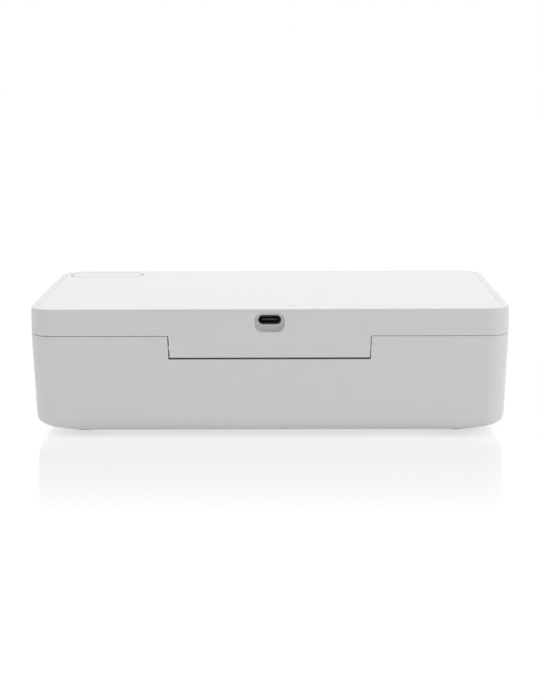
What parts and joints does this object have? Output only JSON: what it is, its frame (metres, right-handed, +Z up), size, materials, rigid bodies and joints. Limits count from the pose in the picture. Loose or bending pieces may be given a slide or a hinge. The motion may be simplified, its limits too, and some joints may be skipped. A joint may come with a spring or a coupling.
{
  "type": "uv-c sanitizer box",
  "caption": "Desktop ultraviolet sanitizer box with a hinged lid, a start button, a rear charging socket, a reflective tray and rubber feet.",
  "frame": {"origin": "on the surface that the feet stand on, under the middle of the box", "axes": "+Z up, +X to the right as seen from behind, where the hinge and the socket are, +Y from the hinge side to the side that opens"},
  "size_m": [0.205, 0.116, 0.0567],
  "materials": {
    "shell": "fine satin white moulded plastic",
    "plate": "smooth satin white plastic",
    "button": "smooth satin white plastic",
    "liner": "satin light grey plastic",
    "reflector": "moulded plastic with a bright vacuum-metallised face",
    "rubber": "dark soft rubber",
    "steel": "bright plated steel",
    "magnet": "nickel-plated magnet",
    "board": "green solder mask over glass-fibre board",
    "lamp_board": "white-faced aluminium-core board",
    "chip": "black moulded resin",
    "ceramic": "matt ceramic lamp package",
    "quartz": "clear polished window",
    "light_pipe": "milky translucent light pipe",
    "flex": "amber polyimide film"
  },
  "bodies": {
    "base": {"base_shell": "shell", "inner_tray": "reflector", "foot_rear_left": "rubber", "foot_rear_right": "rubber", "foot_front_left": "rubber", "foot_front_right": "rubber", "tray_screw_rear_left": "steel", "tray_screw_rear_right": "steel", "tray_screw_front_left": "steel", "tray_screw_front_right": "steel", "tray_magnet_left": "magnet", "tray_magnet_right": "magnet", "sensor_magnet": "magnet", "hinge_pin_left": "steel", "hinge_pin_right": "steel"},
    "lid": {"lid_shell": "shell", "top_plate": "plate", "lid_liner": "liner", "main_board": "board", "lamp_board": "lamp_board", "liner_screw_rear_left": "steel", "liner_screw_rear_right": "steel", "liner_screw_middle_left": "steel", "liner_screw_middle_right": "steel", "liner_screw_front_left": "steel", "liner_screw_front_right": "steel", "lid_magnet_left": "magnet", "lid_magnet_right": "magnet", "lamp_window_1": "quartz", "lamp_window_2": "quartz", "lamp_window_3": "quartz", "lamp_window_4": "quartz", "uv_led_1": "ceramic", "uv_led_2": "ceramic", "uv_led_3": "ceramic", "uv_led_4": "ceramic", "control_chip": "chip", "lid_sensor": "chip", "indicator_led": "ceramic", "indicator_pipe": "light_pipe", "flex_cable": "flex", "socket_shell": "steel", "socket_insert": "chip", "switch_body": "chip"},
    "button": {"start_button": "button", "switch_plunger": "liner"}
  },
  "joints": [
    {"name": "lid_hinge", "type": "hinge", "parent": "base", "child": "lid", "pos_m": [0, -0.0548, 0.0395], "axis": [1, 0, 0], "range_deg": [0, 100]},
    {"name": "button_press", "type": "slide", "parent": "lid", "child": "button", "axis": [0, 0, -1], "range_m": [0, 0.0004], "stiffness_N_per_m": 2000, "springref_m": -0.0003}
  ]
}
